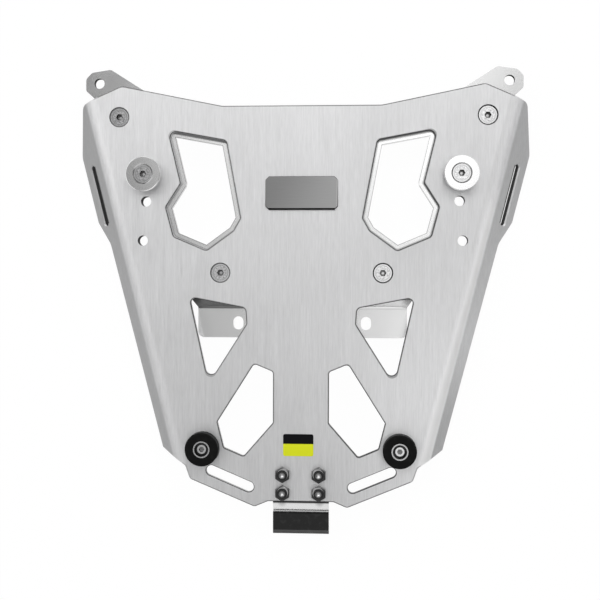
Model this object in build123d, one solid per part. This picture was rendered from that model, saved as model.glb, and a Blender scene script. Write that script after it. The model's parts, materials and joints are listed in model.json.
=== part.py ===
from build123d import *
import os
from math import cos, radians, sin, tan

os.makedirs("parts", exist_ok=True)

# Lengths are in millimetres and angles in degrees. The origin is the middle of the
# main plate's top face, +Y points to the front of the bike, +X to its right and +Z up.
# Outlines are given for the right-hand side and mirrored for the left.
# A corner of an outline is (x, y, radius).

# Main plate: one laser-cut sheet with both long sides folded down
plate_thickness = 4.0
flat_half_width = 126.3
bend_lean = 14.15
bend_angle = 45.0
bend_outer_radius = 18.0
front_edge_y = 162.7
rear_edge_y = -162.5
latch_width = 46.2
front_corners = [
    (65.5, front_edge_y, 20.0),
    (flat_half_width + 22.8, 179.6, 8.0),
]
rear_corners = [
    (flat_half_width - 30.6, -133.8, 4.0),
    (flat_half_width - 34.5, -144.8, 5.0),
    (latch_width / 2 + 15.0, -167.2, 4.0),
    (latch_width / 2 + 3.9, rear_edge_y, 5.0),
]
side_front_edge_angle = -23.754
side_rear_edge_angle = 32.404

# Side flange, measured down its slope and along the bend
flange_depth = 24.0
flange_rear_depth = 9.9
flange_step_depth = 13.5
flange_deep_front = 134.7
flange_deep_rear = 77.7
flange_step_rear = 57.2
flange_front_taper = 46.7
flange_front_corner_radius = 7.0
flange_rear_corner_radius = 8.0
flange_run_out = 150.0
strap_slot_position = 98.4
strap_slot_depth = 12.6
strap_slot_length = 51.5
strap_slot_width = 4.8
strap_slot_mouth = 1.0

# Windows through the main plate
hexagon_window = [
    (62.1, 134.2, 4.0),
    (110.3, 143.0, 5.0),
    (99.7, 99.2, 3.0),
    (112.2, 79.7, 4.0),
    (105.7, 55.4, 4.0),
    (78.3, 43.9, 3.0),
    (56.0, 60.2, 3.0),
    (50.2, 70.5, 3.0),
]
triangle_window = [
    (45.9, -3.4, 4.0),
    (92.3, 5.5, 3.5),
    (76.3, -65.7, 4.8),
    (45.0, -16.5, 3.0),
]
lower_window = [
    (23.0, -55.8, 3.0),
    (38.7, -49.3, 3.5),
    (69.0, -97.4, 2.0),
    (63.6, -118.6, 2.0),
    (47.2, -125.6, 2.5),
    (23.0, -97.8, 3.0),
]
rear_slot_middle = (58.4, -144.2)
rear_slot_length = 42.1
rear_slot_width = 8.4
rear_slot_turn = 22.8

# Support bracket under each side: a flat ring round the hexagon window, an ear in
# front of the plate, and a tongue set down by a double bend under the triangle window
bracket_thickness = 5.0
bracket_ledge = 4.2
bracket_bend_clearance = 1.5
ear_corners = [
    (flat_half_width + 32.7, 194.0, 4.0),
    (flat_half_width + 48.5, 191.6, 4.0),
    (flat_half_width + 53.6, 186.4, 4.0),
    (flat_half_width + 53.6, 176.6, 3.0),
]
ear_front_root = (flat_half_width - 12.3, 165.4, 10.0)
bracket_side_front_y = 164.1
bracket_side_rear_y = 45.0
bracket_inner_corners = [
    (31.0, 28.0, 8.0),
    (36.0, 66.0, 15.0),
    (50.5, 148.0, 8.0),
]
ear_hole_position = (flat_half_width + 42.4, 182.6)
ear_hole_diameter = 8.5
tongue_drop = 9.0
tongue_web_angle = 45.0
tongue_foot_y = -3.0
tongue_end_y = -28.2
tongue_outer_x = 87.0
tongue_inner_x = 41.0
tongue_taper = 0.66
tongue_bend_radius = 4.0
tongue_corner_radius = 5.0
tongue_slot_position = (53.2, -16.1)
tongue_slot_width = 8.5
tongue_slot_length = 11.0

# Spare holes through plate and bracket
spare_hole_diameter = 8.5
spare_hole_positions = [(flat_half_width + 2.3, 84.3), (flat_half_width + 5.0, 52.0)]

# M8 screws and their nuts
m8_diameter = 8.0
m8_clearance_hole = 9.0
m8_countersink = 16.8
m8_head = 14.6
m8_socket = 5.0
m8_socket_depth = 4.0
m8_nut_width = 13.0
m8_nut_height = 8.0
m8_nut_flange = 17.9
m8_nut_flange_thickness = 1.6
seat_gap = 0.1
thread_gap = 0.1
bracket_screw_length = 18.0
front_screw_position = (flat_half_width + 24.8, 154.0)
rear_screw_position = (66.8, 25.6)

# Case disc standing on a spacer
disc_position = (flat_half_width + 3.1, 106.1)
disc_diameter = 28.4
disc_thickness = 4.6
disc_spacer_diameter = 21.0
disc_spacer_height = 5.4
disc_screw_length = 30.0
disc_edge_break = 0.5

# Rubber puck with a metal sleeve and an M5 cap screw
puck_position = (flat_half_width - 45.4, -119.2)
puck_diameter = 27.6
puck_height = 10.0
puck_edge_radius = 1.2
sleeve_diameter = 13.6
sleeve_bore = 11.6
sleeve_floor = 2.5
sleeve_recess = 0.4
m5_diameter = 5.0
m5_clearance_hole = 5.5
m5_head = 8.5
m5_head_height = 5.0
m5_socket = 4.0
m5_socket_depth = 2.5
m5_nut_width = 8.0
m5_nut_height = 4.7
puck_screw_length = 12.0
rubber_gap = 0.1

# Latch bracket behind the plate, with an edge cover of rubber on its shelf
latch_thickness = 4.0
latch_front_y = -127.0
latch_bend_y = -164.9
latch_slope_angle = 24.0
latch_drop = 2.8
latch_bend_radius = 2.0
latch_end_y = -188.8
latch_corner_radius = 1.5
latch_pad_thickness = 1.8
latch_pad_front_y = -172.3
latch_pad_bite = 9.0
latch_bolt_spacing_x = latch_width - 16.4
latch_bolt_spacing_y = 15.0
latch_bolt_middle_y = -147.7
latch_slot_travel = 6.0
latch_screw_diameter = 7.0
latch_clearance_hole = 7.8
latch_screw_head = 11.5
latch_screw_head_height = 7.0
latch_screw_socket = 5.5
latch_screw_socket_depth = 3.5
latch_screw_length = 14.6
latch_nut_width = 11.4
latch_nut_height = 4.0

# Blank badge plate and blank two-field sticker
badge_middle = (0.2, 90.9)
badge_size = (59.4, 27.5)
badge_thickness = 1.6
badge_corner_cut = 2.9
badge_edge_break = 0.5
sticker_middle = (-2.0, -115.9)
sticker_size = (24.9, 18.1)
sticker_thickness = 0.3
sticker_corner_radius = 1.6

screw_tip = 0.6
sheet_edge_break = 0.6
cut_margin = 20.0
cut_reach = 2 * flat_half_width

bracket_top = -plate_thickness
bracket_bottom = bracket_top - bracket_thickness


def rounded(corners):
    """Flat face through (x, y, radius) corners, each rounded by its own radius."""
    face = make_face(Polyline([(x, y) for x, y, _ in corners], close=True)).face()
    for x, y, radius in corners:
        if radius > 0:
            corner = face.vertices().sort_by_distance((x, y, 0))[0]
            face = face.fillet_2d(radius, [corner])
    return face


def mirrored(shape):
    """The same shape on the other side of the plate's centre line."""
    return mirror(shape, about=Plane.YZ)


def on_both_sides(shape):
    """A right-hand shape together with its mirror image."""
    return [shape, mirrored(shape)]


def at_four_corners(spacing_x, spacing_y, middle_y):
    """Centres of a rectangular pattern about the plate's centre line."""
    return [
        (x, middle_y + y)
        for y in (spacing_y / 2, -spacing_y / 2)
        for x in (-spacing_x / 2, spacing_x / 2)
    ]


def drill(position, diameter):
    """Upright cutter for a round hole through every layer."""
    x, y = position
    return Pos(x, y, 0) * Cylinder(diameter / 2, 4 * cut_margin)


def countersink(position, top):
    """Cutter for an M8 clearance hole with a 90 degree mouth at height top."""
    x, y = position
    mouth_depth = (m8_countersink - m8_clearance_hole) / 2
    mouth = Cone(m8_clearance_hole / 2, m8_countersink / 2, mouth_depth)
    return Pos(x, y, top - mouth_depth / 2) * mouth + drill(position, m8_clearance_hole)


def turned(points):
    """Solid turned about Z from a closed profile of (radius, height) points."""
    profile = make_face(Polyline(points, close=True))
    return revolve(Plane.XZ * profile, Axis.Z)


def hexagon_bar(width, low, high):
    """Upright hexagonal bar, its width across the flats, from low to high."""
    return Pos(0, 0, low) * extrude(RegularPolygon(width / 2, 6, major_radius=False), high - low)


# Frames of the right-hand bend and flange


def bend_line_x(y):
    """Where the flat of the plate ends on the right, for a given y."""
    return flat_half_width + y * tan(radians(bend_lean))


bend_frame = Pos(flat_half_width, 0, 0) * Rot(0, 0, -bend_lean)
bend_foot_x = bend_outer_radius * sin(radians(bend_angle))
bend_foot_z = -bend_outer_radius * (1 - cos(radians(bend_angle)))
flange_frame = bend_frame * Pos(bend_foot_x, 0, bend_foot_z) * Rot(0, bend_angle, 0)


def plate_plan():
    """Outline of the folded plate seen from above, before the flanges' own edges."""
    reach = flat_half_width + 3 * flange_depth
    front_x, front_y, _ = front_corners[-1]
    rear_x, rear_y, _ = rear_corners[0]
    front_end_y = front_y + (reach - front_x) * tan(radians(side_front_edge_angle))
    rear_end_y = rear_y + (reach - rear_x) * tan(radians(side_rear_edge_angle))
    right_corners = front_corners + [(reach, front_end_y, 0), (reach, rear_end_y, 0)] + rear_corners
    left_corners = [(-x, y, radius) for x, y, radius in reversed(right_corners)]
    return rounded(right_corners + left_corners)


def flat_of_plate(plan):
    """The level middle of the sheet with its windows, between the two bend lines."""
    sheet = extrude(plan, amount=plate_thickness, dir=(0, 0, -1))
    for window in (rounded(hexagon_window), rounded(triangle_window), rounded(lower_window), rear_slot()):
        cutter = Pos(0, 0, -cut_margin) * extrude(window, 2 * cut_margin)
        sheet = sheet - on_both_sides(cutter)
    sheet = chamfer(sheet.faces().sort_by(Axis.Z)[-1].edges(), sheet_edge_break)
    right_side = [(bend_line_x(y), y, 0) for y in (cut_reach, -cut_reach)]
    left_side = [(-x, y, 0) for x, y, _ in reversed(right_side)]
    level_zone = rounded(right_side + left_side)
    return sheet & extrude(level_zone, amount=plate_thickness, dir=(0, 0, -1))


def bend_of_plate(trimmer):
    """Quarter-round stretch between the flat and the flange, its skin thickened inwards."""
    middle_angle = radians(bend_angle / 2)
    middle = (
        bend_outer_radius * sin(middle_angle),
        -cut_reach,
        -bend_outer_radius * (1 - cos(middle_angle)),
    )
    arc = ThreePointArc((0, -cut_reach, 0), middle, (bend_foot_x, -cut_reach, bend_foot_z))
    skin = bend_frame * Face.extrude(arc.edge(), (0, 2 * cut_reach, 0))
    trimmed = (skin & trimmer).face()
    return Solid.thicken(trimmed, plate_thickness, normal_override=(0, 0, -1))


def flange_of_plate(trimmer):
    """Sloping side wall with a deep front half, a step and its long strap slot."""
    outline = rounded(
        [
            (0, flange_deep_front + flange_front_taper, 0),
            (flange_depth, flange_deep_front, 10.0),
            (flange_depth, flange_deep_rear, 4.0),
            (flange_step_depth, flange_step_rear, 12.0),
            (flange_rear_depth, -flange_run_out, 0),
            (0, -flange_run_out, 0),
        ]
    )
    skin = flange_frame.inverse() * (flange_frame * outline & trimmer).face()
    lower_corners = [corner for corner in skin.vertices() if corner.X > sheet_edge_break]
    front_corner = max(lower_corners, key=lambda corner: corner.Y)
    rear_corner = min(lower_corners, key=lambda corner: corner.Y)
    skin = skin.fillet_2d(flange_front_corner_radius, [front_corner])
    skin = skin.fillet_2d(flange_rear_corner_radius, [rear_corner])
    slot = SlotOverall(strap_slot_length, strap_slot_width, rotation=90)
    skin = skin - Pos(strap_slot_depth, strap_slot_position) * slot
    wall = extrude(skin, amount=plate_thickness, dir=(0, 0, -1))
    outside = wall.faces().sort_by(Axis.Z)[-1]
    return flange_frame * chamfer(outside.inner_wires()[0].edges(), strap_slot_mouth)


def rear_slot():
    """Face of the oblique strap slot at the plate's rear edge."""
    x, y = rear_slot_middle
    return Pos(x, y) * SlotOverall(rear_slot_length, rear_slot_width, rotation=rear_slot_turn).face()


def main_plate():
    """The folded sheet with its windows, slots and holes."""
    plan = plate_plan()
    trimmer = Pos(0, 0, -2 * cut_margin) * extrude(plan, 4 * cut_margin)
    plate = flat_of_plate(plan)
    for side_piece in (bend_of_plate(trimmer), flange_of_plate(trimmer)):
        plate = plate + on_both_sides(side_piece)
    cutters = [countersink(front_screw_position, 0), countersink(rear_screw_position, 0)]
    cutters += [drill(disc_position, m8_clearance_hole), drill(puck_position, m5_clearance_hole)]
    cutters += [drill(position, spare_hole_diameter) for position in spare_hole_positions]
    for cutter in cutters:
        plate = plate - on_both_sides(cutter)
    for position in latch_bolt_positions:
        plate = plate - drill(position, latch_clearance_hole)
    return plate


latch_bolt_positions = at_four_corners(latch_bolt_spacing_x, latch_bolt_spacing_y, latch_bolt_middle_y)


# Support bracket

web_run = tongue_drop / tan(radians(tongue_web_angle))
web_top_y = tongue_foot_y + web_run
strip_front_y = web_top_y + bracket_thickness
half_bend = tan(radians(tongue_web_angle / 2))


def tongue_strip():
    """Bracket sheet bent down, then level again: a side view carried across X."""
    middle_shift = bracket_thickness / 2 * half_bend
    level_z = bracket_top - bracket_thickness / 2
    low_z = level_z - tongue_drop
    path = FilletPolyline(
        (0, strip_front_y, level_z),
        (0, web_top_y + middle_shift, level_z),
        (0, tongue_foot_y + middle_shift, low_z),
        (0, tongue_end_y - cut_margin, low_z),
        radius=tongue_bend_radius + bracket_thickness / 2,
    )
    section_plane = Plane(origin=path @ 0, x_dir=(1, 0, 0), z_dir=path % 0)
    section = section_plane * Rectangle(cut_reach, bracket_thickness)
    strip = sweep(section, path)
    widening = tongue_taper * (strip_front_y - tongue_foot_y)
    plan = rounded(
        [
            (tongue_outer_x + widening, strip_front_y, 0),
            (tongue_outer_x, tongue_foot_y, 0),
            (tongue_outer_x, tongue_end_y, tongue_corner_radius),
            (tongue_inner_x, tongue_end_y, tongue_corner_radius),
            (tongue_inner_x, tongue_foot_y, 0),
            (tongue_inner_x - widening, strip_front_y, 0),
        ]
    )
    trimmer = Pos(0, 0, -2 * cut_margin) * extrude(plan, 2 * cut_margin)
    return (Pos(cut_reach / 2, 0, 0) * strip) & trimmer


def bracket_ring():
    """Level part of the right-hand bracket with its window and ear."""
    side_offset = -bracket_bend_clearance
    widening = tongue_taper * (strip_front_y - tongue_foot_y)
    outline = [ear_front_root] + ear_corners
    outline += [
        (bend_line_x(bracket_side_front_y) + side_offset, bracket_side_front_y, 5.0),
        (bend_line_x(bracket_side_rear_y) + side_offset, bracket_side_rear_y, 8.0),
        (tongue_outer_x + widening, strip_front_y, 0),
        (tongue_inner_x - widening, strip_front_y, 0),
    ]
    outline += bracket_inner_corners
    ring = Pos(0, 0, bracket_bottom) * extrude(rounded(outline), bracket_thickness)
    window = offset(rounded(hexagon_window), amount=-bracket_ledge)
    return ring - Pos(0, 0, bracket_bottom - cut_margin) * extrude(window, 2 * cut_margin)


def bend_relief():
    """Wedge cut from the bracket's top where it passes under the start of the bend."""
    inner_radius = bend_outer_radius - plate_thickness
    reach = inner_radius * sin(radians(bend_angle))
    drop = inner_radius * (1 - cos(radians(bend_angle)))
    wedge = make_face(
        Polyline([(0, 0), (reach, -drop - rubber_gap), (reach, cut_margin), (0, cut_margin)], close=True)
    )
    bar = extrude(Plane.XZ * wedge, amount=cut_reach, both=True)
    under_plate = Pos(0, rubber_gap, -cut_margin) * extrude(plate_plan(), 2 * cut_margin)
    return (bend_frame * Pos(0, 0, bracket_top) * bar) & under_plate


def support_bracket():
    """Right-hand bracket: ear, ring and tongue from one plate."""
    bracket = bracket_ring() + tongue_strip()
    bracket = bracket - bend_relief()
    bracket = bracket - drill(ear_hole_position, ear_hole_diameter)
    for position in [front_screw_position, rear_screw_position, disc_position]:
        bracket = bracket - drill(position, m8_clearance_hole)
    for position in spare_hole_positions:
        bracket = bracket - drill(position, spare_hole_diameter)
    x, y = tongue_slot_position
    slot = SlotOverall(tongue_slot_length, tongue_slot_width, rotation=90)
    return bracket - Pos(x, y, -2 * cut_margin) * extrude(slot, 2 * cut_margin)


# Fasteners, each made with its seat at Z=0


def countersunk_screw(length):
    """M8 countersunk socket screw, the top of its head at Z=0."""
    head = m8_head / 2
    shank = m8_diameter / 2
    screw = turned(
        [
            (0, 0),
            (head, 0),
            (shank, shank - head),
            (shank, screw_tip - length),
            (shank - screw_tip, -length),
            (0, -length),
        ]
    )
    return screw - hexagon_bar(m8_socket, -m8_socket_depth, 1)


def cap_screw(diameter, head, head_height, socket, socket_depth, length):
    """Cylinder-head socket screw, the underside of its head at Z=0, its tip slightly hollow."""
    shank = diameter / 2
    rim = head / 2
    hollow = shank / 2
    screw = turned(
        [
            (0, head_height),
            (rim - screw_tip, head_height),
            (rim, head_height - screw_tip),
            (rim, 0),
            (shank, 0),
            (shank, screw_tip - length),
            (shank - screw_tip, -length),
            (hollow, -length),
            (0, hollow / 2 - length),
        ]
    )
    return screw - hexagon_bar(socket, head_height - socket_depth, head_height + 1)


def flanged_nut(diameter, width, height, flange, flange_thickness):
    """Flanged hexagon nut hanging below Z=0."""
    corner = width / 2 / cos(radians(30))
    limit = turned(
        [
            (0, 0),
            (flange / 2, 0),
            (flange / 2, -flange_thickness / 2),
            (corner, -flange_thickness - (flange / 2 - corner) / 2),
            (corner, -height + screw_tip),
            (corner - screw_tip, -height),
            (0, -height),
        ]
    )
    collar = Pos(0, 0, -flange_thickness / 2 - height / 8)
    skirt = limit & (collar * Cylinder(flange, flange_thickness + height / 4))
    nut = skirt + (limit & hexagon_bar(width, -height, 0))
    return nut - Cylinder(diameter / 2 + thread_gap, 4 * height)


def hexagon_nut(diameter, width, height):
    """Hexagon nut standing on Z=0 with both faces chamfered, a corner towards +Y."""
    corner = width / 2 / cos(radians(30))
    face = width / 2 - screw_tip / 2
    chamfer_height = (corner - face) * tan(radians(30))
    limit = turned(
        [
            (0, 0),
            (face, 0),
            (corner, chamfer_height),
            (corner, height - chamfer_height),
            (face, height),
            (0, height),
        ]
    )
    bore = Cylinder(diameter / 2 + thread_gap, 4 * height)
    return (limit & (Rot(0, 0, 30) * hexagon_bar(width, 0, height))) - bore


def washer(diameter, bore, thickness):
    """Flat ring standing on Z=0."""
    return Pos(0, 0, thickness / 2) * (Cylinder(diameter / 2, thickness) - Cylinder(bore / 2, thickness))


# Case disc and puck


def case_disc():
    """Disc with a countersunk hole, standing on its spacer."""
    x, y = disc_position
    disc = Cylinder(disc_diameter / 2, disc_thickness)
    disc = chamfer(disc.edges().filter_by(GeomType.CIRCLE), disc_edge_break)
    disc = Pos(x, y, disc_spacer_height + disc_thickness / 2) * disc
    return disc - countersink(disc_position, disc_spacer_height + disc_thickness)


def disc_spacer():
    """Round spacer between the plate and the case disc."""
    x, y = disc_position
    return Pos(x, y, 0) * washer(disc_spacer_diameter, m8_clearance_hole, disc_spacer_height)


def rubber_puck():
    """Rubber ring with a rounded top edge."""
    x, y = puck_position
    ring = washer(puck_diameter, sleeve_diameter + 2 * rubber_gap, puck_height)
    top_rim = ring.edges().filter_by(GeomType.CIRCLE).group_by(Axis.Z)[-1].sort_by(SortBy.RADIUS)[-1]
    return Pos(x, y, 0) * fillet(top_rim, puck_edge_radius)


def puck_sleeve():
    """Metal cup inside the puck that takes the screw's load."""
    x, y = puck_position
    height = puck_height - sleeve_recess
    cup = washer(sleeve_diameter, m5_clearance_hole, height)
    return Pos(x, y, 0) * (cup - Pos(0, 0, sleeve_floor + height / 2) * Cylinder(sleeve_bore / 2, height))


# Latch

slope_run = latch_drop / tan(radians(latch_slope_angle))
latch_top = -plate_thickness
latch_middle_z = latch_top - latch_thickness / 2
shelf_middle_z = latch_middle_z - latch_drop


def latch_bracket():
    """Strip bolted under the rear edge, bent down to a level shelf."""
    middle_shift = latch_thickness / 2 * tan(radians(latch_slope_angle / 2))
    path = FilletPolyline(
        (0, latch_front_y, latch_middle_z),
        (0, latch_bend_y + middle_shift, latch_middle_z),
        (0, latch_bend_y - slope_run + middle_shift, shelf_middle_z),
        (0, latch_end_y, shelf_middle_z),
        radius=latch_bend_radius + latch_thickness / 2,
    )
    section_plane = Plane(origin=path @ 0, x_dir=(1, 0, 0), z_dir=path % 0)
    strip = sweep(section_plane * Rectangle(latch_width, latch_thickness), path)
    end_edges = strip.edges().filter_by(Axis.X).group_by(Axis.Y)[0]
    strip = fillet(end_edges, latch_corner_radius)
    slot_length = latch_bolt_spacing_y + latch_clearance_hole + latch_slot_travel
    slot = SlotOverall(slot_length, latch_clearance_hole, rotation=90)
    cutter = Pos(latch_bolt_spacing_x / 2, latch_bolt_middle_y, -cut_margin) * extrude(slot, 2 * cut_margin)
    return strip - on_both_sides(cutter)


def latch_pad():
    """Rubber edge cover folded round the shelf's rear edge, with a half-round nose."""
    inner_half = latch_thickness / 2 + rubber_gap
    outer_half = inner_half + latch_pad_thickness
    nose_y = latch_end_y - rubber_gap - latch_pad_thickness
    below_front_y = nose_y + latch_pad_bite
    profile = rounded(
        [
            (latch_pad_front_y, outer_half, 0.6),
            (nose_y, outer_half, outer_half - 0.01),
            (nose_y, -outer_half, outer_half - 0.01),
            (below_front_y, -outer_half, 0.6),
            (below_front_y, -inner_half, 0),
            (latch_end_y - rubber_gap, -inner_half, latch_corner_radius),
            (latch_end_y - rubber_gap, inner_half, latch_corner_radius),
            (latch_pad_front_y, inner_half, 0),
        ]
    )
    side_plane = Plane(origin=(-latch_width / 2, 0, shelf_middle_z), x_dir=(0, 1, 0), z_dir=(1, 0, 0))
    return extrude(side_plane * profile, latch_width)


def badge():
    """Blank metal plate with its four corners cut off."""
    width, height = badge_size
    outline = chamfer(Rectangle(width, height).vertices(), badge_corner_cut)
    plate = extrude(outline, badge_thickness)
    plate = chamfer(plate.edges().group_by(Axis.Z)[-1], badge_edge_break)
    return Pos(*badge_middle, 0) * plate


def sticker():
    """Blank sticker with rounded corners."""
    width, height = sticker_size
    outline = fillet(Rectangle(width, height).vertices(), sticker_corner_radius)
    return Pos(*sticker_middle, 0) * extrude(outline, sticker_thickness)


def save(name, shape):
    """Write one piece to its own file."""
    export_step(shape.solid(), f"parts/{name}.step")


def save_pair(name, right_piece):
    """Write a right-hand piece and its mirror image."""
    save("right_" + name, right_piece)
    save("left_" + name, mirrored(right_piece))


def m8_nut(position):
    """Flanged nut under the support bracket."""
    nut = flanged_nut(m8_diameter, m8_nut_width, m8_nut_height, m8_nut_flange, m8_nut_flange_thickness)
    return Pos(*position, bracket_bottom) * nut


head_sink = (m8_countersink - m8_head) / 2 - seat_gap

save("main_plate", main_plate())
save_pair("support_bracket", support_bracket())

for row, position in (("front", front_screw_position), ("rear", rear_screw_position)):
    save_pair(f"{row}_bracket_screw", Pos(*position, -head_sink) * countersunk_screw(bracket_screw_length))
    save_pair(f"{row}_bracket_nut", m8_nut(position))

disc_top = disc_spacer_height + disc_thickness
save_pair("case_disc", case_disc())
save_pair("disc_spacer", disc_spacer())
save_pair("disc_screw", Pos(*disc_position, disc_top - head_sink) * countersunk_screw(disc_screw_length))
save_pair("disc_nut", m8_nut(disc_position))

puck_screw = cap_screw(m5_diameter, m5_head, m5_head_height, m5_socket, m5_socket_depth, puck_screw_length)
puck_nut = hexagon_nut(m5_diameter, m5_nut_width, m5_nut_height)
save_pair("rubber_puck", rubber_puck())
save_pair("puck_sleeve", puck_sleeve())
save_pair("puck_screw", Pos(*puck_position, sleeve_floor) * puck_screw)
save_pair("puck_nut", Pos(*puck_position, -plate_thickness - m5_nut_height) * puck_nut)

save("latch_bracket", latch_bracket())
save("latch_pad", latch_pad())
latch_screw = Rot(180, 0, 0) * cap_screw(
    latch_screw_diameter,
    latch_screw_head,
    latch_screw_head_height,
    latch_screw_socket,
    latch_screw_socket_depth,
    latch_screw_length,
)
latch_nut = hexagon_nut(latch_screw_diameter, latch_nut_width, latch_nut_height)
for number, (x, y) in enumerate(latch_bolt_positions, start=1):
    save(f"latch_screw_{number}", Pos(x, y, latch_top - latch_thickness) * latch_screw)
    save(f"latch_nut_{number}", Pos(x, y, 0) * latch_nut)

save("badge", badge())
save("sticker", sticker())
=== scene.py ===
"""Looks of a folded top case mounting plate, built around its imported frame."""

import json
import math

import bpy
import numpy as np
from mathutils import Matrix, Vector


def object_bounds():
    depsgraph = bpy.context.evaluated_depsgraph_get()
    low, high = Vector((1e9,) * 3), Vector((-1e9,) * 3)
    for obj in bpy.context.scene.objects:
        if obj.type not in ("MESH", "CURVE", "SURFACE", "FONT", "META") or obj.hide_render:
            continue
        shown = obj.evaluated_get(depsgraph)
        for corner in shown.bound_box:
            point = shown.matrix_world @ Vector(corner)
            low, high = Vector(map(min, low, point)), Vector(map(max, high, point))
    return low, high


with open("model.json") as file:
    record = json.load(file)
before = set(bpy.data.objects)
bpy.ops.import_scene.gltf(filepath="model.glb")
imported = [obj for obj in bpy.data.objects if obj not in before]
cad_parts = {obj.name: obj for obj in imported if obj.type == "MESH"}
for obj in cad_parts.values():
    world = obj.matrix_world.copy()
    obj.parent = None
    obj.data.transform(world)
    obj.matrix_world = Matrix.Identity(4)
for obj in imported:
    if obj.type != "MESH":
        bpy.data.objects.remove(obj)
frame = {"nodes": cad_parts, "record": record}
frame_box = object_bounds()
nodes = frame["nodes"]


# Places on the part in millimetres. Each is given for the right-hand side and holds for both.

flat_half_width = 126.3
bend_lean = math.radians(14.15)
bend_angle = math.radians(45.0)
bend_radius = 18.0
skin_depth = bend_radius * (1.0 - math.cos(bend_angle))
strap_slot_along = 98.4
strap_slot_lip = 8.7
latch_slope_top = -164.4
latch_slope_foot = -170.2
sticker_border = -114.9

# Heights above the plate's top face
underside = -4.0
wall_bottom = underside + 0.03
edge_bottom = -0.62
plate_screw_top = -1.0
disc_top = 10.0
disc_screw_top = 9.0
puck_screw_top = 7.5
socket_depth = 4.0
badge_top = 1.6

front_screw = (151.1, 154.0)
rear_screw = (66.8, 25.6)
case_disc = (129.4, 106.1)
rubber_puck = (80.9, -119.2)
spare_holes = ((128.6, 84.3), (131.3, 52.0))
ear_hole = (168.7, 182.6)
latch_bolt_x = 14.9
latch_bolt_middle_y = -147.7
latch_bolt_half_gap = 7.5

# Corners of the windows, and the radii that round them
hexagon_window = [
    (62.1, 134.2),
    (110.3, 143.0),
    (99.7, 99.2),
    (112.2, 79.7),
    (105.7, 55.4),
    (78.3, 43.9),
    (56.0, 60.2),
    (50.2, 70.5),
]
triangle_window = [(45.9, -3.4), (92.3, 5.5), (76.3, -65.7), (45.0, -16.5)]
lower_window = [
    (23.0, -55.8),
    (38.7, -49.3),
    (69.0, -97.4),
    (63.6, -118.6),
    (47.2, -125.6),
    (23.0, -97.8),
]
hexagon_radius = 4.0
triangle_radius = 4.0
lower_radius = 2.5

# Halves of the plate's front and rear edges, from the middle outwards
front_edge = [(0.0, 162.7), (65.5, 162.7), (149.1, 179.6), (172.0, 169.5)]
rear_edge = [
    (0.0, -162.5),
    (27.0, -162.5),
    (38.1, -167.2),
    (91.8, -144.8),
    (95.7, -133.8),
    (115.7, -121.1),
]


# Camera: the photograph's place, aim and field of view

view = bpy.data.cameras.new("view")
view.sensor_width = 36.0
view.lens = 60.6
view.clip_start = 0.01
view.clip_end = 40.0
camera = bpy.data.objects.new("camera", view)
bpy.context.scene.collection.objects.link(camera)
camera.location = (0.0490, 0.0149, 0.8266)
camera.rotation_euler = [math.radians(angle) for angle in (-0.786, 3.458, 0.175)]
bpy.context.scene.camera = camera
bpy.context.scene.view_settings.view_transform = "Standard"


def inset(corners, radius):
    """The same corners moved inwards by a radius: each is where two neighbouring sides meet after
    both are shifted along their inward normals. A line at that radius outside has round corners."""
    points = np.array(corners)
    following = np.roll(points, -1, axis=0)
    sides = following - points
    sides = sides / np.linalg.norm(sides, axis=1, keepdims=True)
    turning = np.sign(np.sum(points[:, 0] * following[:, 1] - points[:, 1] * following[:, 0]))
    normals = np.column_stack([-sides[:, 1], sides[:, 0]]) * turning
    before = np.roll(normals, 1, axis=0)
    spread = 1.0 + np.sum(normals * before, axis=1, keepdims=True)
    return (points + radius * (normals + before) / spread).tolist()


# Node graphs written as expressions


class Value:
    """A number flowing through a node tree. Arithmetic on it adds Math nodes."""

    def __init__(self, graph, socket):
        self.graph = graph
        self.socket = socket

    def math(self, operation, *others):
        """A Math node with this value first and the others after it."""
        node = self.graph.add("ShaderNodeMath", {"operation": operation})
        for socket, value in zip(node.inputs, (self, *others)):
            self.graph.join(value, socket)
        return Value(self.graph, node.outputs[0])

    def __add__(self, other):
        return self.math("ADD", other)

    def __sub__(self, other):
        return self.math("SUBTRACT", other)

    def __mul__(self, other):
        return self.math("MULTIPLY", other)

    def __rsub__(self, other):
        return (self * -1.0).math("ADD", other)

    __radd__ = __add__
    __rmul__ = __mul__

    def absolute(self):
        return self.math("ABSOLUTE")

    def root(self):
        return self.math("SQRT")

    def least(self, other):
        return self.math("MINIMUM", other)

    def most(self, other):
        return self.math("MAXIMUM", other)

    def above(self, limit):
        return self.math("GREATER_THAN", limit)

    def below(self, limit):
        return self.math("LESS_THAN", limit)

    def between(self, low, high):
        return self.above(low) * self.below(high)

    def under(self, face):
        """1 where a height is below this face by more than a hair."""
        return self.below(face - 0.05)

    def ramp(self, low, high, start=0.0, end=1.0):
        """Smooth step: start up to low, end from high on."""
        settings = {"interpolation_type": "SMOOTHSTEP"}
        sockets = {"Value": self, "From Min": low, "From Max": high, "To Min": start, "To Max": end}
        return self.graph.value("ShaderNodeMapRange", settings, sockets)

    def left_to_right(self, left, right, reach=60.0):
        """Smooth step of x about the middle plane, from the left's level to the right's."""
        return self.ramp(-reach, reach, left, right)


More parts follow.
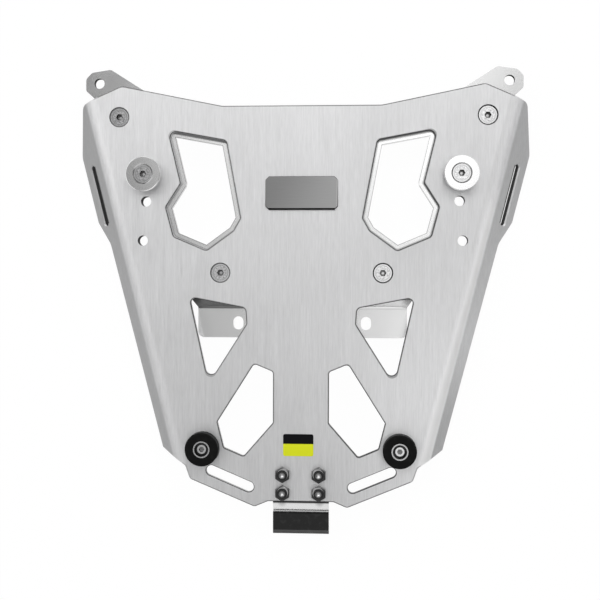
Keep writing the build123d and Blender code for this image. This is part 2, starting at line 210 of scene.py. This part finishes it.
class Graph:
    """A node tree with one way to add a node: its type, its settings, then its sockets."""

    def __init__(self, tree):
        self.tree = tree
        self.tree.nodes.clear()

    def join(self, value, socket):
        """A link where the value is a socket or a Value, and a plain setting otherwise."""
        if isinstance(value, Value):
            value = value.socket
        if isinstance(value, bpy.types.NodeSocket):
            self.tree.links.new(value, socket)
        else:
            socket.default_value = value

    def add(self, kind, settings=None, sockets=None):
        node = self.tree.nodes.new(kind)
        for name, value in (settings or {}).items():
            setattr(node, name, value)
        for name, value in (sockets or {}).items():
            self.join(value, node.inputs[name])
        return node

    def value(self, kind, settings=None, sockets=None, output=0):
        return Value(self, self.add(kind, settings, sockets).outputs[output])

    def parts(self, vector):
        """The three numbers of a vector."""
        split = self.add("ShaderNodeSeparateXYZ", None, {"Vector": vector})
        return [Value(self, split.outputs[axis]) for axis in "XYZ"]

    def place(self):
        """The point's x, y and z in millimetres."""
        where = self.add("ShaderNodeTexCoord").outputs["Object"]
        return [metres * 1000.0 for metres in self.parts(where)]

    def distance(self, x, y, centre):
        """Distance in plan from an upright axis, on either side of the plate."""
        across = x.absolute() - centre[0]
        along = y - centre[1]
        return (across * across + along * along).root()

    def near(self, x, y, radius, *centres):
        """1 within a radius of any of these upright axes."""
        return sum(self.distance(x, y, centre).below(radius) for centre in centres)

    def vector(self, x, y, z):
        return self.add("ShaderNodeCombineXYZ", None, {"X": x, "Y": y, "Z": z}).outputs[0]

    def vector_math(self, operation, sockets, output=0):
        return self.value("ShaderNodeVectorMath", {"operation": operation}, sockets, output)

    def outline(self, spot, corners, closed=True):
        """Distance in plan from the line through these corners: for each side from a to b,
        |p - a - d clamp((p - a).d)| with d the side's direction, and the least of them all."""
        gaps = []
        for (start_x, start_y), (end_x, end_y) in zip(corners, corners[1:] + corners[: int(closed)]):
            length = math.hypot(end_x - start_x, end_y - start_y)
            side = ((end_x - start_x) / length, (end_y - start_y) / length, 0.0)
            offset = self.vector_math("SUBTRACT", {0: spot, 1: (start_x, start_y, 0.0)})
            along = self.vector_math("DOT_PRODUCT", {0: offset, 1: side}, "Value")
            foot = self.vector_math("SCALE", {0: side, "Scale": along.most(0.0).least(length)})
            gaps.append(self.vector_math("DISTANCE", {0: offset, 1: foot}, "Value"))
        nearest = gaps[0]
        for gap in gaps[1:]:
            nearest = nearest.least(gap)
        return nearest

    def noise(self, place, scales, detail=2.0, roughness=0.5):
        """Noise with its own number of cells per millimetre along each axis."""
        stretched = self.vector(*(axis * scale for axis, scale in zip(place, scales)))
        sockets = {"Vector": stretched, "Scale": 1.0, "Detail": detail, "Roughness": roughness}
        return self.value("ShaderNodeTexNoise", None, sockets)

    def mix(self, amount, first, second):
        """Colour between first, at 0, and second, at 1."""
        sockets = {"Factor": amount, 6: (*first, 1.0), 7: (*second, 1.0)}
        return self.add("ShaderNodeMix", {"data_type": "RGBA"}, sockets).outputs[2]

    def tint(self, colour, strength):
        """A colour made lighter or darker by a value around 1."""
        return self.vector_math("SCALE", {0: colour, "Scale": strength})

    def bump(self, height, strength, distance):
        sockets = {"Height": height, "Strength": strength, "Distance": distance}
        return self.add("ShaderNodeBump", None, sockets).outputs["Normal"]


def material(name):
    """A new material with its graph and an empty surface shader."""
    made = bpy.data.materials.new(name)
    made.use_nodes = True
    graph = Graph(made.node_tree)
    shader = graph.add("ShaderNodeBsdfPrincipled")
    graph.add("ShaderNodeOutputMaterial", None, {"Surface": shader.outputs["BSDF"]})

    def finish(**sockets):
        for socket, value in sockets.items():
            graph.join(value, shader.inputs[socket.replace("_", " ")])
        return made

    return graph, finish


# Finishes


def brushed_plate():
    """Sheet brushed along Y: fine streaks a fraction of a millimetre wide and centimetres long,
    painted shade on the broken edge and in a line beside each cut, on the laser-cut walls and on
    the flanges, and painted light and shade across the right-hand bend and level part."""
    graph, finish = material("brushed_plate")
    x, y, z = place = graph.place()
    side = x.absolute()
    spot = graph.vector(side, y, 0.0)

    # Brushing: four sizes of streak, from hair-fine lines to a broad cloud
    fine = graph.noise(place, (4.0, 0.05, 4.0), detail=3.0)
    short = graph.noise(place, (1.1, 0.09, 1.1), detail=3.0, roughness=0.6)
    broad = graph.noise(place, (0.55, 0.018, 0.5), detail=4.0, roughness=0.62)
    cloud = graph.noise(place, (0.02, 0.011, 0.02))
    shade = 1.0 + (fine - 0.5) * 0.16 + (broad - 0.5) * 0.24 + (short - 0.5) * 0.22
    shade = shade + (cloud - 0.5) * 0.10

    # Distances from the bend: outwards from its start, along it, and below the flange's skin
    out = (side - flat_half_width) * math.cos(bend_lean) - y * math.sin(bend_lean)
    along = (side - flat_half_width) * math.sin(bend_lean) + y * math.cos(bend_lean)
    skin = (out + z) * math.sin(bend_angle) - skin_depth
    slope = (out - bend_radius * math.sin(bend_angle)) * (1.0 / math.cos(bend_angle))

    # Painted shade on the cut walls, darkest in the bores, in the strap slot and on the flange's
    # edge, and deeper on the right-hand walls of the level part
    level = out.below(-0.1)
    chamfer_shade = z.between(edge_bottom, -0.02) * level
    cut_wall = z.between(wall_bottom, edge_bottom) * level
    side_cut = out.above(14.0) * skin.between(wall_bottom, -0.95)
    bores = graph.near(x, y, 8.6, front_screw, rear_screw) * x.left_to_right(0.6, 1.0)
    bores = bores + graph.near(x, y, 4.4, *spare_holes)
    recess_shade = bores * z.below(-0.02) + side_cut + cut_wall * x.ramp(20.0, 60.0, 0.0, 0.8)
    recess_shade = recess_shade.least(1.0)
    # Painted shade in a strip along the strap slot's lip, widening the slot's dark opening
    slot_lip_shade = (slope - strap_slot_lip).absolute().below(0.75)
    slot_lip_shade = slot_lip_shade * (along - strap_slot_along).absolute().below(24.5)

    # Painted shade in a line about a millimetre wide beside each cut
    windows = (
        (hexagon_window, hexagon_radius),
        (triangle_window, triangle_radius),
        (lower_window, lower_radius),
    )
    hexagon, triangle, lower = (
        graph.outline(spot, inset(corners, radius)) - radius for corners, radius in windows
    )
    outside = graph.outline(spot, front_edge, False).least(graph.outline(spot, rear_edge, False))
    rim = hexagon.least(triangle).least(lower).ramp(0.7, 1.3, 1.0, 0.0)
    rim = rim.most(outside.ramp(0.6, 1.2, 0.8, 0.0)) * z.above(-0.7)

    # Painted shade on the folded flanges, a painted highlight on the right-hand bend, and painted
    # light and shade across the right-hand half of the level part
    flange = out.ramp(10.5, 13.0)
    dusk = y.ramp(20.0, 90.0, 0.34, 0.38)
    right_dusk = y.ramp(10.0, 130.0, -0.31, -0.225) + y.ramp(-110.0, -20.0, 0.31, 0.0)
    dusk = dusk + x.above(0.0) * right_dusk
    bend_highlight = x.above(0.0) * out.ramp(1.0, 8.0) * out.ramp(10.5, 13.0, 1.0, 0.0)
    bend_highlight = bend_highlight * y.ramp(60.0, 120.0, 0.72, 0.42)
    right_light_and_shade = x.ramp(20.0, 90.0) * y.ramp(-110.0, 60.0, 0.13, -0.08)

    shade = shade * (1.0 - chamfer_shade * y.ramp(-150.0, -60.0, 0.9, 0.76))
    shade = shade * (1.0 - rim * x.left_to_right(0.35, 0.5))
    shade = shade * (1.0 - cut_wall * 0.22) * (1.0 - recess_shade * 0.93) * (1.0 - slot_lip_shade * 0.8)
    shade = shade * (1.0 - flange * dusk) * (1.0 + bend_highlight) * (1.0 + right_light_and_shade)
    return finish(
        Base_Color=graph.tint((0.655, 0.655, 0.66), shade),
        Metallic=1.0 - recess_shade,
        Roughness=0.46 + (broad - 0.5) * 0.16 + cut_wall * 0.12 + recess_shade * 0.4,
        Normal=graph.bump(fine + broad * 0.6, 0.35, 0.0002),
    )


def satin_bracket():
    """Smooth cold-rolled sheet with a faint grain and small dull patches, with painted shade where
    it lies under the plate, in its bores, on its ears, webs and latch slope, and a painted dark
    reflection of the latch bolts."""
    graph, finish = material("bracket_metal")
    x, y, z = place = graph.place()
    side = x.absolute()
    grain = graph.noise(place, (1.6, 1.2, 1.6), detail=3.0)
    patch = graph.noise(place, (0.05, 0.05, 0.05))
    shade = 1.0 + (grain - 0.5) * 0.05 + (patch - 0.5) * 0.08

    # Painted shade in the bores, under the hexagon window's front wall and under the rear edge
    (start_x, start_y), (end_x, end_y) = hexagon_window[:2]
    turn = math.atan2(end_y - start_y, end_x - start_x)
    past_wall = (y - start_y) * math.cos(turn) - (side - start_x) * math.sin(turn)
    under_front_wall = past_wall.above(-1.9) * y.below(end_y + 1.0)
    under_rear_edge = y.between(latch_slope_top, -150.0)
    bore = graph.near(x, y, 4.4, ear_hole, *spare_holes) * z.under(underside)
    recess_shade = bore + under_front_wall * x.left_to_right(0.7, 0.15) + under_rear_edge
    recess_shade = recess_shade.least(1.0)

    # The ledge in the hexagon window, from the wall above it to its own inner edge: painted shade
    # beside the wall above and a painted dark line at its inner edge
    ledge = hexagon_radius - graph.outline(
        graph.vector(side, y, 0.0), inset(hexagon_window, hexagon_radius)
    )
    shade_under_plate = ledge.ramp(0.4, 1.7, x.left_to_right(0.35, 0.5), 0.0) * ledge.above(-0.5)
    inner_edge_shade = ledge.ramp(3.5, 3.9, 0.0, 0.45)

    # Painted shade on the ear, the web down to the tongue and the latch's slope, with a painted dark
    # reflection of the bolts on the slope
    ear_shade = y.above(160.0) * x.left_to_right(0.22, 0.38)
    web_shade = y.between(-4.0, 13.0) * z.below(underside - 0.3)
    web_corner_shade = graph.distance(x, y, (91.0, 6.0)).ramp(4.0, 12.0, 0.6, 0.0)
    latch_slope_shade = y.between(latch_slope_foot, latch_slope_top)
    bolt_reflection = graph.distance(x, y, (15.5, -164.0)).ramp(1.0, 5.0, 0.35, 0.0)

    shade = shade * (1.0 - shade_under_plate) * (1.0 - inner_edge_shade) * (1.0 - bolt_reflection)
    shade = shade * (1.0 - ear_shade) * (1.0 - latch_slope_shade * 0.2)
    shade = shade * (1.0 - web_shade * x.left_to_right(0.82, 0.08, 20.0)) * (1.0 - web_shade * web_corner_shade)
    shade = shade * (1.0 - recess_shade * 0.95)
    return finish(
        Base_Color=graph.tint((0.94, 0.94, 0.94), shade),
        Metallic=1.0 - recess_shade,
        Roughness=0.20 + (grain - 0.5) * 0.08 + (patch - 0.5) * 0.06 + recess_shade * 0.7,
        Normal=graph.bump(grain, 0.10, 0.0001),
    )


def turned_disc():
    """Lathe-turned metal: fine rings about each disc's own axis, and painted shade in the
    countersink.
    """
    graph, finish = material("disc_metal")
    x, y, z = graph.place()
    radius = graph.distance(x, y, case_disc)
    rings = graph.noise((radius, z, z), (5.0, 5.0, 0.0))
    countersink_shade = radius.below(8.3) * z.under(disc_top)
    shade = (1.0 + (rings - 0.5) * 0.06) * (1.0 - countersink_shade * 0.5)
    return finish(
        Base_Color=graph.tint((0.95, 0.95, 0.95), shade),
        Metallic=1.0,
        Roughness=0.17 + (rings - 0.5) * 0.08,
        Normal=graph.bump(rings, 0.05, 0.0001),
    )


def plated(graph, place, colour, roughness, shade=1.0, wear=0.12):
    """Sockets of plated steel: small tonal changes over a shade, and faint dull spots."""
    spots = graph.noise(place, (1.2, 1.2, 1.2), detail=4.0, roughness=0.6)
    return {
        "Base_Color": graph.tint(colour, shade * (1.0 + (spots - 0.5) * wear)),
        "Metallic": 1.0,
        "Roughness": roughness + (spots - 0.5) * 0.16,
        "Normal": graph.bump(spots, 0.06, 0.0001),
    }


def nut_steel():
    """Plated nuts under the part."""
    graph, finish = material("nut_steel")
    return finish(**plated(graph, graph.place(), (0.62, 0.62, 0.63), 0.34))


def sleeve_metal():
    """Steel cup with painted shade inside it, so that only its top rim keeps the steel's own colour.
    """
    graph, finish = material("sleeve_metal")
    x, y, z = place = graph.place()
    # Painted shade: everything but the cup's top rim is darkened
    rim = graph.distance(x, y, rubber_puck).above(5.75) * z.above(9.0)
    return finish(**plated(graph, place, (0.68, 0.68, 0.685), 0.28, 0.08 + rim * 0.92))


def socket_screws():
    """Plated countersunk and cap screws, worn round their heads, with painted shade inside their
    hexagon sockets, a painted highlight on each socket's floor, and painted light and shade on the
    right-hand screws."""
    graph, finish = material("screw_steel")
    x, y, z = place = graph.place()
    head = graph.distance(x, y, front_screw).least(graph.distance(x, y, rear_screw))
    head = head.least(graph.distance(x, y, case_disc))

    # Painted shade in the sockets of the plate's screws, the discs' screws and the pucks' cap
    # screws, eased on the socket floors into a painted highlight
    sockets = graph.near(x, y, 2.9, front_screw, rear_screw) * z.under(plate_screw_top)
    sockets = sockets + graph.near(x, y, 2.9, case_disc) * z.under(disc_screw_top)
    sockets = sockets + graph.near(x, y, 2.33, rubber_puck) * z.under(puck_screw_top)
    disc_socket_floor = disc_screw_top - socket_depth
    floors = z.below(plate_screw_top - socket_depth + 0.05)
    floors = floors + z.between(disc_socket_floor - 1.0, disc_socket_floor + 0.05)
    recess_shade = sockets * (1.0 - floors * head.ramp(0.7, 1.5, 0.9, 0.35))

    worn = head.between(3.1, 5.4)
    dark_ring = head.between(5.7, 6.3)
    mottle = graph.noise(place, (0.6, 0.6, 0.0))
    shade = (1.0 + worn * ((mottle - 0.5) * 1.7 - 0.05)) * (1.0 - dark_ring * 0.22)
    # Painted light and shade on the right-hand screws: lighter towards the rear, darker towards the
    # front
    shade = shade * (1.0 - x.above(0.0) * y.ramp(60.0, 140.0, -0.15, 0.22)) * (1.0 - recess_shade * 0.98)
    steel = plated(graph, place, (0.82, 0.82, 0.825), 0.18 + recess_shade * 0.6, shade)
    steel["Metallic"] = 1.0 - recess_shade
    return finish(**steel)


def latch_bolts():
    """Dull plated nuts and screw ends, with painted shade on their sides and threads, a painted
    highlight on each nut's face, and a painted highlight in the middle of each screw end with
    painted shade round it.
    """
    graph, finish = material("latch_bolt_steel")
    x, y, z = place = graph.place()
    row = (y - latch_bolt_middle_y).absolute()
    radius = graph.distance(x, row, (latch_bolt_x, latch_bolt_half_gap))

    # Painted highlight: each nut is brightest about a point 0.9 mm in front of its middle and 0.5 mm
    # inwards. Painted shade darkens the threads, the sides away from that point and each screw end
    # round its middle.
    lit_row = (y - (latch_bolt_middle_y + 0.9)).absolute()
    lit = graph.distance(x, lit_row, (latch_bolt_x - 0.5, latch_bolt_half_gap))
    shaded_thread = radius.between(2.5, 4.2)
    sides = radius.above(4.2) * lit.ramp(4.0, 4.7) + radius.above(5.35) * lit.below(4.0)
    tip_shade = radius.below(2.5) * radius.ramp(0.7, 1.5, 0.0, 0.58)
    shade = (1.0 - shaded_thread * 0.92) * (1.0 - sides * 0.88) * (1.0 - tip_shade)
    return finish(**plated(graph, place, (0.54, 0.54, 0.545), 0.30 + shaded_thread * 0.3, shade, 0.3))


def rubber(name, colour, roughness):
    """Moulded rubber: matt, with fine pitting and paler rubbed spots. Painted shade darkens it from
    the latch pad's front edge forwards, which takes in the pucks, and a painted highlight lightens
    the pad's nose."""
    graph, finish = material(name)
    x, y, z = place = graph.place()
    pits = graph.noise(place, (3.5, 3.5, 3.5), detail=3.0)
    rubbed = graph.noise(place, (0.22, 0.22, 0.22), detail=3.0).ramp(0.5, 0.75)
    shade = 1.0 + (pits - 0.5) * 0.3 + rubbed * 0.6
    # Painted highlight on the latch pad's nose, and painted shade from the pad's front edge forwards
    shade = shade + y.below(-187.0) * 3.2 - y.above(-173.2) * 0.7
    return finish(
        Base_Color=graph.tint(colour, shade),
        Metallic=0.0,
        Specular_IOR_Level=0.11,
        Roughness=roughness + (pits - 0.5) * 0.12 - rubbed * 0.06,
        Normal=graph.bump(pits, 0.25, 0.0002),
    )


def badge_metal():
    """Dark grey metal, finely brushed along X, with painted light and shade across it, painted shade
    on its bevels, darkest at the rear, and a painted highlight on its side bevels.
    """
    graph, finish = material("badge_metal")
    x, y, z = place = graph.place()
    streak = graph.noise(place, (0.08, 3.0, 2.0), detail=3.0)
    bevel_shade = z.under(badge_top)
    rear_bevel_shade = y.below(78.6) * x.absolute().below(27.3)
    side_bevel_highlight = x.absolute().above(29.1)
    # Painted light and shade across the badge, darker towards the left and the front; painted shade
    # on the bevels, deepest at the rear bevel, and a painted highlight on the side bevels
    shade = (x - y * 0.6).ramp(-90.0, -20.0, 0.82, 1.22) + (streak - 0.5) * 0.16
    shade = shade * (1.0 - bevel_shade * y.ramp(78.0, 104.0, 0.9, 0.35))
    shade = shade * (1.0 - rear_bevel_shade * 0.97) * (1.0 + side_bevel_highlight * 0.9)
    return finish(
        Base_Color=graph.tint((0.295, 0.295, 0.295), shade),
        Metallic=1.0,
        Roughness=0.34 + (streak - 0.5) * 0.1,
        Normal=graph.bump(streak, 0.08, 0.0001),
    )


def sticker_film():
    """Film in two plain fields, black in front and yellow behind."""
    graph, finish = material("sticker_film")
    x, y, z = place = graph.place()
    black = y.above(sticker_border)
    grain = graph.noise(place, (2.0, 2.0, 1.0))
    return finish(
        Base_Color=graph.mix(black, (0.56, 0.60, 0.018), (0.004, 0.004, 0.005)),
        Metallic=0.0,
        Specular_IOR_Level=0.06,
        Roughness=0.42 + (grain - 0.5) * 0.1,
        Normal=graph.bump(grain, 0.05, 0.0001),
    )


finishes = {
    "brushed_plate": brushed_plate(),
    "bracket_metal": satin_bracket(),
    "disc_metal": turned_disc(),
    "puck_rubber": rubber("puck_rubber", (0.005, 0.005, 0.005), 0.6),
    "pad_rubber": rubber("pad_rubber", (0.016, 0.016, 0.016), 0.62),
    "sleeve_metal": sleeve_metal(),
    "badge_metal": badge_metal(),
    "sticker_film": sticker_film(),
    "nut_steel": nut_steel(),
    "latch_bolt_steel": latch_bolts(),
    "screw_steel": socket_screws(),
}
for entry in frame["record"]["subparts"]:
    mesh = nodes[entry["node"]].data
    mesh.materials.clear()
    mesh.materials.append(finishes[entry["material_slot"]])


# Studio: cards of light round a pale floor, worked out from the direction looked in

white = (1.0, 1.0, 1.0, 1.0)


def studio_world():
    """Strength by direction: an overhead card with a brighter strip right of the middle, a card
    at each side, all brighter to the front, a low strip at the rear, and dusk at the horizon."""
    world = bpy.data.worlds.new("studio")
    bpy.context.scene.world = world
    world.use_nodes = True
    graph = Graph(world.node_tree)
    x, y, z = graph.parts(graph.add("ShaderNodeTexCoord").outputs["Generated"])
    high = z.ramp(0.0, 0.6)
    overhead = x.ramp(-0.25, -0.13, 0.08, 0.54) - x.ramp(0.12, 0.20, 0.0, 0.33)
    strip = x.ramp(-0.02, 0.08, 0.0, 0.38) * x.ramp(0.12, 0.16, 1.0, 0.0)
    left_card = x.ramp(-0.62, -0.28, 0.95, 0.0)
    right_card = x.ramp(0.24, 0.42, 0.0, 0.24)
    front = y.ramp(0.0, 0.45, 1.0, 3.55) * y.ramp(-0.70, -0.10, 0.28, 1.0)
    rear_strip = y.ramp(-0.76, -0.24, 0.80, 0.0) * z.ramp(0.05, 0.15)
    strength = (overhead + strip + left_card + right_card) * front * high
    strength = strength + 0.20 * (1.0 - high) + rear_strip
    backdrop = graph.add("ShaderNodeBackground", None, {"Color": white, "Strength": strength})
    graph.add("ShaderNodeOutputWorld", None, {"Surface": backdrop.outputs[0]})


def floor_finish():
    """Pale floor that shows as white and keeps a faint shadow."""
    made = bpy.data.materials.new("floor_finish")
    made.use_nodes = True
    graph = Graph(made.node_tree)
    path = graph.add("ShaderNodeLightPath").outputs
    rays = ("Is Camera Ray", "Is Glossy Ray", "Is Transmission Ray")
    seen = sum(Value(graph, path[ray]) for ray in rays)
    matt = graph.add("ShaderNodeBsdfDiffuse", None, {"Color": (0.9, 0.9, 0.9, 1.0)}).outputs[0]
    bright = graph.add("ShaderNodeEmission", None, {"Color": white, "Strength": 1.0}).outputs[0]
    blend = graph.add("ShaderNodeMixShader", None, {0: seen * 0.97, 1: matt, 2: bright})
    graph.add("ShaderNodeOutputMaterial", None, {"Surface": blend.outputs[0]})
    return made


def floor(height, half):
    """Square sheet at one height."""
    mesh = bpy.data.meshes.new("floor")
    corners = [(x * half, y * half, height) for x, y in ((-1, -1), (1, -1), (1, 1), (-1, 1))]
    mesh.from_pydata(corners, [], [(0, 1, 2, 3)])
    mesh.materials.append(floor_finish())
    sheet = bpy.data.objects.new("floor", mesh)
    bpy.context.scene.collection.objects.link(sheet)


def soft_lamp(name, place, size, power):
    """Square lamp aimed at the origin."""
    data = bpy.data.lights.new(name, "AREA")
    data.shape = "RECTANGLE"
    data.size, data.size_y = size
    data.energy = power
    lamp = bpy.data.objects.new(name, data)
    bpy.context.scene.collection.objects.link(lamp)
    lamp.location = place
    lamp.rotation_euler = (-Vector(place)).to_track_quat("-Z", "Y").to_euler()


studio_world()
floor(frame_box[0][2] - 0.0002, 18.0)
soft_lamp("front_softbox", (0.35, 1.1, 1.0), (0.5, 0.4), 4.0)
soft_lamp("side_softbox", (0.46, -0.12, 1.25), (0.2, 0.2), 0.8)
